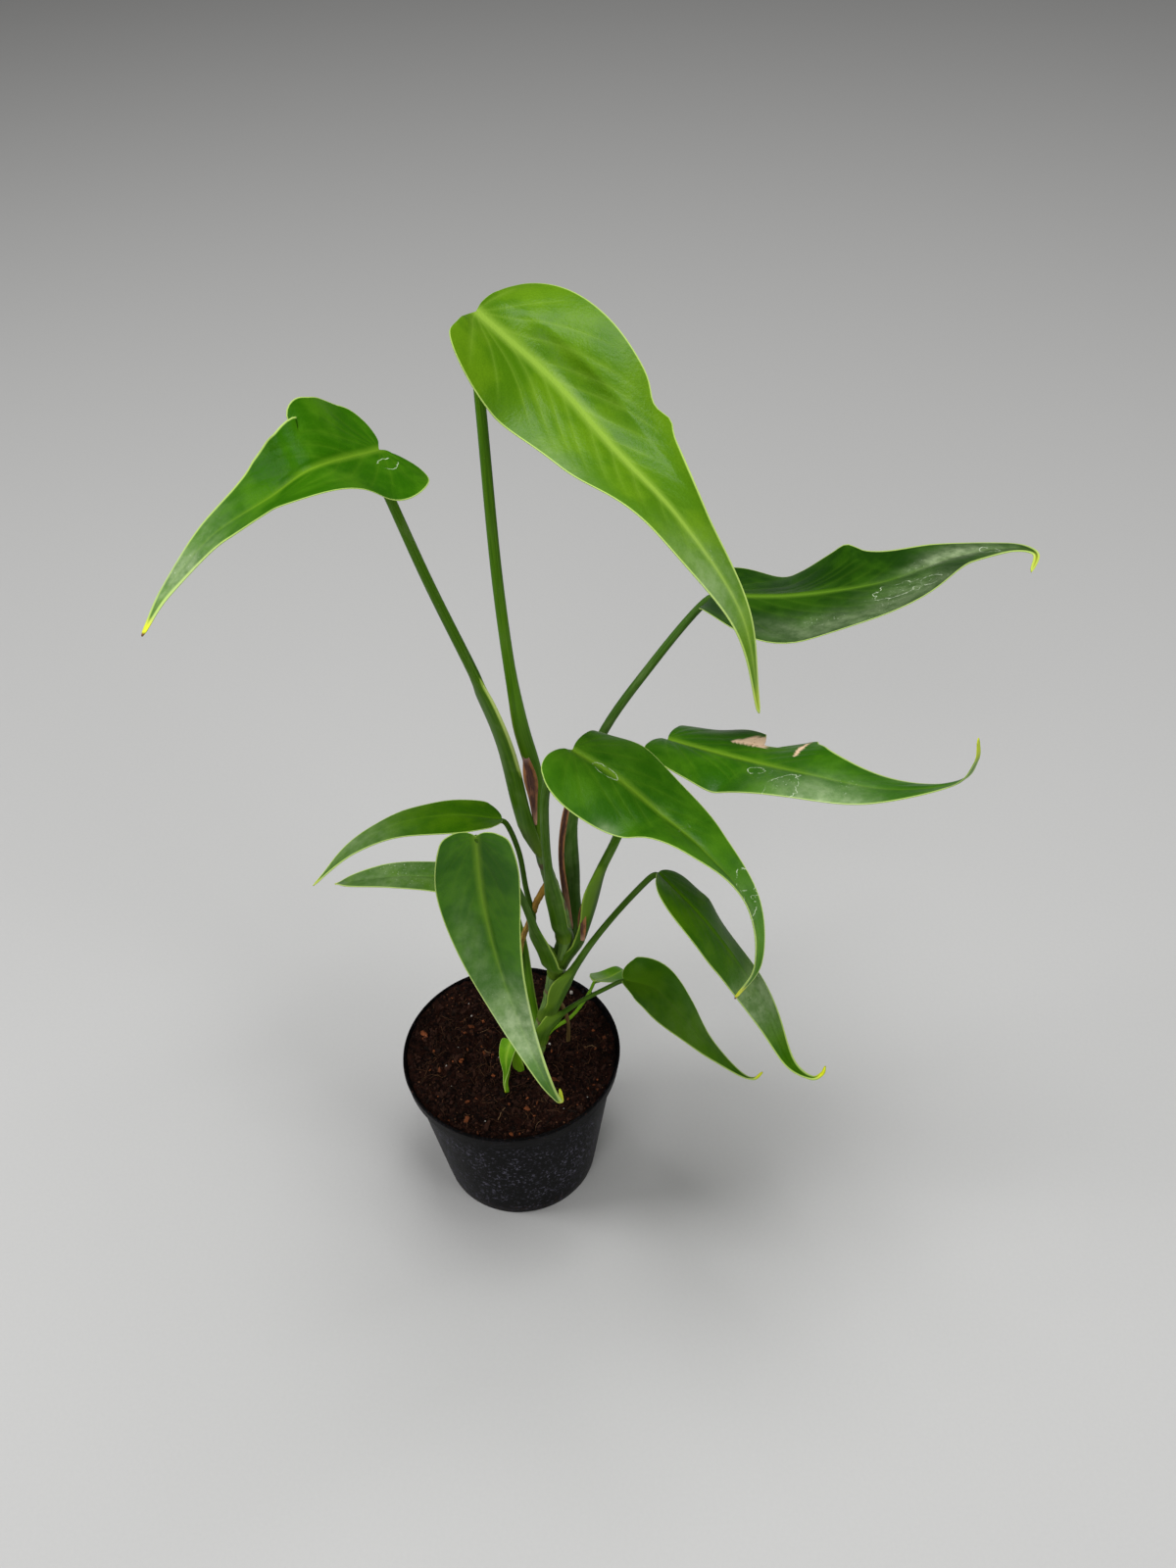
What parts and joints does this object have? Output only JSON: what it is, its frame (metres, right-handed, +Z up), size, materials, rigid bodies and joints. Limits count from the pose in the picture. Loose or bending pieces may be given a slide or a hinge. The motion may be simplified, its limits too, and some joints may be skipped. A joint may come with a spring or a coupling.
{
  "type": "potted aroid house plant",
  "caption": "Young potted aroid with long, narrow, waved leaves that end in drawn-out drip tips, on slender sheathed petioles, in a round tapered plastic nursery pot of dark soil.",
  "frame": {"origin": "centre of the pot's base, on the surface that it stands on", "axes": "+Z up; the picture looks along +Y with +X to the right"},
  "size_m": [0.3797, 0.2031, 0.5202],
  "materials": {
    "pot": "thin black plastic, semi-matte, dusty",
    "soil": "dark coco and peat crumb with reddish bark chips",
    "stem": "smooth green with brown nodes",
    "leaf": "smooth semi-gloss leaf, paler midrib and thin pale margin",
    "young_leaf": "bright yellow-green semi-gloss leaf with a yellow midrib",
    "root": "olive-brown, dull",
    "dry_sheath": "dry reddish-brown, papery"
  },
  "bodies": {
    "root": {"pot": "pot", "soil": "soil", "stem": "stem", "leaf_01": "young_leaf", "leaf_02": "leaf", "leaf_03": "leaf", "leaf_04": "leaf", "leaf_05": "leaf", "leaf_06": "leaf", "leaf_07": "leaf", "leaf_08": "leaf", "leaf_09": "leaf", "leaf_10": "leaf", "leaf_11": "leaf", "leaf_12": "young_leaf", "aerial_root": "root", "stub_root": "root", "dry_sheath_top": "dry_sheath", "dry_sheath_middle": "dry_sheath", "dry_sheath_lower": "dry_sheath"}
  },
  "joints": []
}
